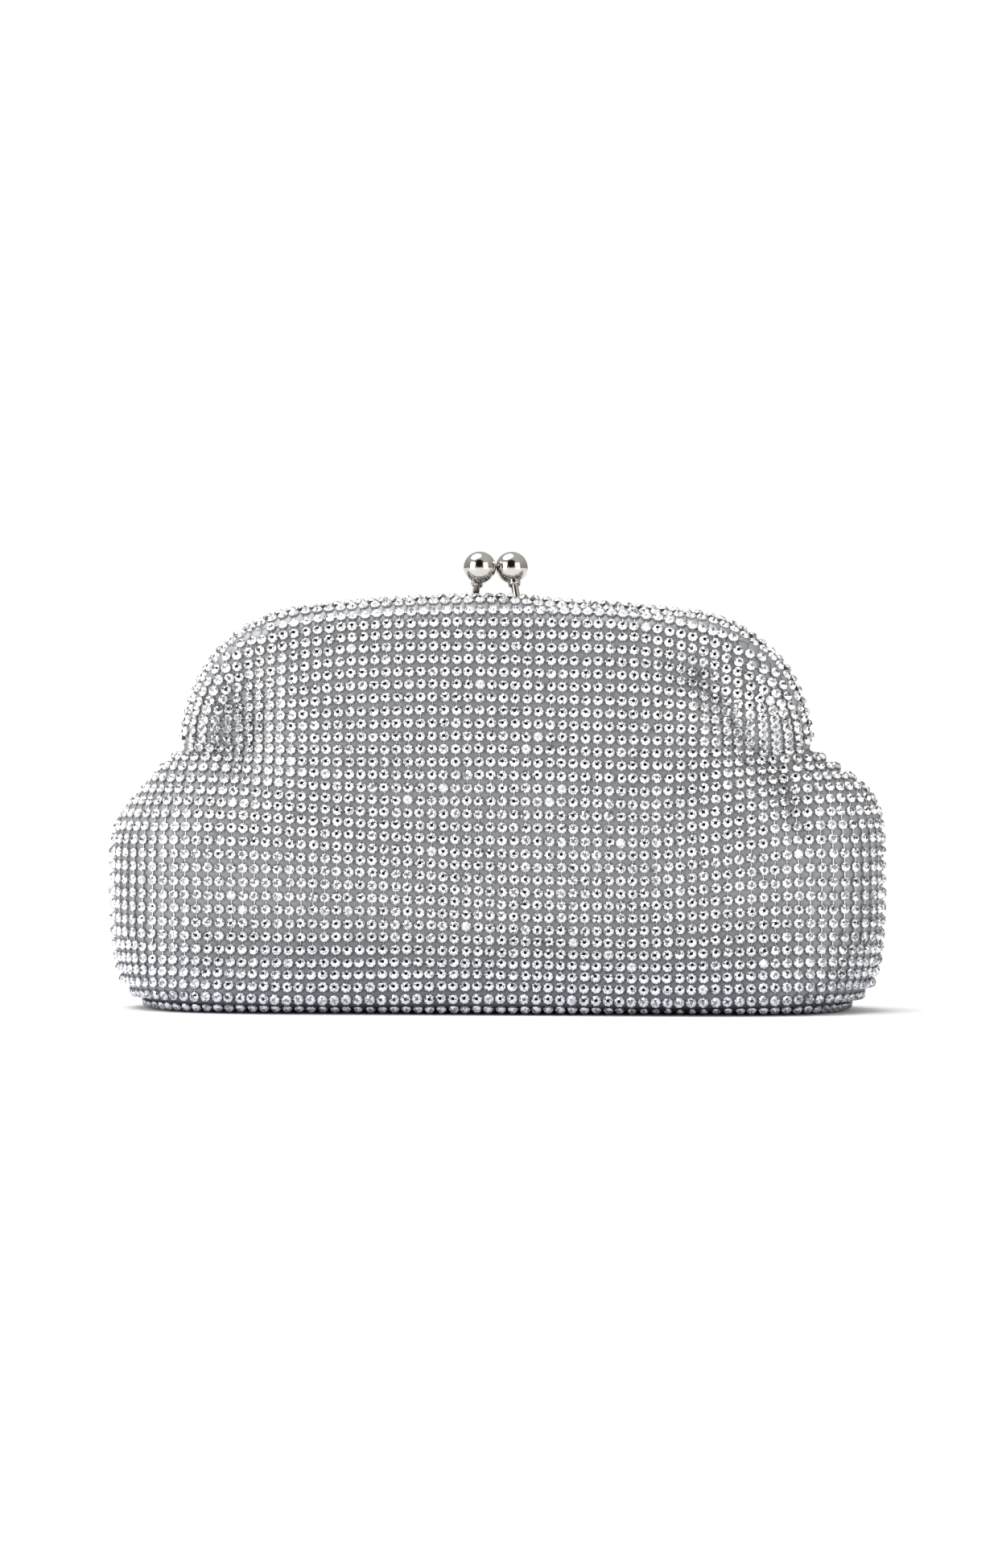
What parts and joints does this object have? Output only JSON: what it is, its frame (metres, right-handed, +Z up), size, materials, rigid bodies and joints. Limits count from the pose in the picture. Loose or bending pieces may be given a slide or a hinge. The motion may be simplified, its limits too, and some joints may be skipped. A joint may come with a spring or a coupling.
{
  "type": "evening bag",
  "caption": "Kiss-lock evening clutch in crystal mesh: arched hidden frame with crossing ball clasps, boarded base, satin-lined pouch.",
  "frame": {"origin": "middle of the base, on the surface that the bag stands on", "axes": "+X along the bag's width, -Y out of its front face, +Z up through the clasp"},
  "size_m": [0.2407, 0.0632, 0.1415],
  "materials": {
    "crystal_mesh": "square-mesh metal set with faceted clear crystals",
    "crystal": "clear faceted crystal with a foiled back",
    "clasp_nickel": "polished nickel",
    "frame_steel": "plated sheet steel",
    "rivet_steel": "plated",
    "paper_cord": "twisted paper",
    "wadding": "polyester felt",
    "board": "grey board",
    "satin_lining": "silver-grey satin"
  },
  "bodies": {
    "pouch": {"base_board": "board", "base_panel": "crystal_mesh", "front_panel": "crystal_mesh", "left_gusset_panel": "crystal_mesh", "left_hinge_rivet": "rivet_steel", "lining_base": "satin_lining", "lining_front": "satin_lining", "lining_left_gusset": "satin_lining", "lining_rear": "satin_lining", "lining_right_gusset": "satin_lining", "rear_panel": "crystal_mesh", "right_gusset_panel": "crystal_mesh", "right_hinge_rivet": "rivet_steel", "slip_pocket": "satin_lining", "wadding_front": "wadding", "wadding_left_gusset": "wadding", "wadding_rear": "wadding", "wadding_right_gusset": "wadding"},
    "front_half": {"front_clasp_ball": "clasp_nickel", "front_clasp_collar": "clasp_nickel", "front_clasp_stem": "clasp_nickel", "front_cover": "crystal_mesh", "front_cover_lining": "satin_lining", "front_cover_wadding": "wadding", "front_fold": "crystal_mesh", "front_fold_lining": "satin_lining", "front_frame": "frame_steel", "front_frame_cord": "paper_cord"},
    "rear_half": {"rear_clasp_ball": "clasp_nickel", "rear_clasp_collar": "clasp_nickel", "rear_clasp_stem": "clasp_nickel", "rear_cover": "crystal_mesh", "rear_cover_lining": "satin_lining", "rear_cover_wadding": "wadding", "rear_fold": "crystal_mesh", "rear_fold_lining": "satin_lining", "rear_frame": "frame_steel", "rear_frame_cord": "paper_cord"}
  },
  "joints": [
    {"name": "front_opening", "type": "hinge", "parent": "pouch", "child": "front_half", "pos_m": [0, 0, 0.078], "axis": [1, 0, 0], "range_deg": [0, 35], "deforming": ["front_fold", "front_fold_lining"]},
    {"name": "rear_opening", "type": "hinge", "parent": "pouch", "child": "rear_half", "pos_m": [0, 0, 0.078], "axis": [1, 0, 0], "range_deg": [-35, 0], "deforming": ["rear_fold", "rear_fold_lining"]}
  ],
  "couplings": [
    {"joint": "rear_opening", "follows": "front_opening", "ratio": -1}
  ]
}
